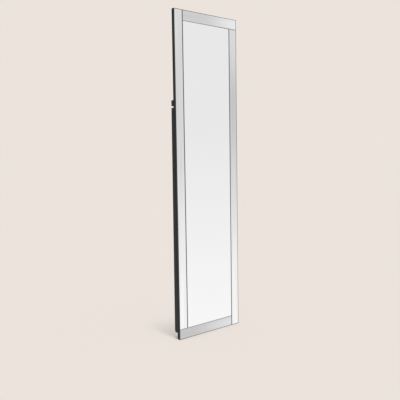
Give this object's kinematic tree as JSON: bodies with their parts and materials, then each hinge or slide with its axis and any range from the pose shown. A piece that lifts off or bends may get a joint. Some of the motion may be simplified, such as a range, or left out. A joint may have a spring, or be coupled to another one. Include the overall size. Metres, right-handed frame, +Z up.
{
  "type": "floor mirror",
  "caption": "Free-standing full-length mirror: a plain pane bordered by mirrored strips on a black board, with a hinged frame stand folded flat against its back.",
  "frame": {"origin": "on the floor, under the middle of the whole object's box with the stand folded", "axes": "+Z up the mirror, the glass faces -Y and the stand is at +Y, +X to the right of someone who looks at the glass"},
  "size_m": [0.4, 0.048, 1.6],
  "materials": {
    "centre_silvered_glass": "polished, silvered on the back",
    "border_silvered_glass": "polished, silvered on the back",
    "foam_tape": "closed-cell foam",
    "black_board": "painted black, satin",
    "black_timber": "painted black, satin, faint grain",
    "hinge_steel": "zinc plated",
    "pin_steel": "bright",
    "screw_steel": "zinc plated",
    "dowel_beech": "plain",
    "foot_rubber": "matt",
    "bumper_felt": "felt"
  },
  "bodies": {
    "panel": {"centre_mirror": "centre_silvered_glass", "left_mirror_strip": "border_silvered_glass", "top_mirror_strip": "border_silvered_glass", "right_mirror_strip": "border_silvered_glass", "bottom_mirror_strip": "border_silvered_glass", "mounting_tape": "foam_tape", "backing_board": "black_board", "stop_rail": "black_timber", "stop_rail_screws": "screw_steel", "left_hinge_fixed_leaf": "hinge_steel", "left_hinge_pin": "pin_steel", "right_hinge_fixed_leaf": "hinge_steel", "right_hinge_pin": "pin_steel", "fixed_leaf_screws": "screw_steel"},
    "stand": {"stand_left_stile": "black_timber", "stand_right_stile": "black_timber", "stand_top_rail": "black_timber", "stand_bottom_rail": "black_timber", "stand_dowels": "dowel_beech", "stand_left_foot": "foot_rubber", "stand_right_foot": "foot_rubber", "foot_screws": "screw_steel", "stand_bumpers": "bumper_felt", "left_hinge_moving_leaf": "hinge_steel", "right_hinge_moving_leaf": "hinge_steel", "moving_leaf_screws": "screw_steel"}
  },
  "joints": [
    {"name": "stand_hinge", "type": "hinge", "parent": "panel", "child": "stand", "pos_m": [0, -0.0035, 1.142], "axis": [1, 0, 0], "range_deg": [0, 22.5]}
  ]
}
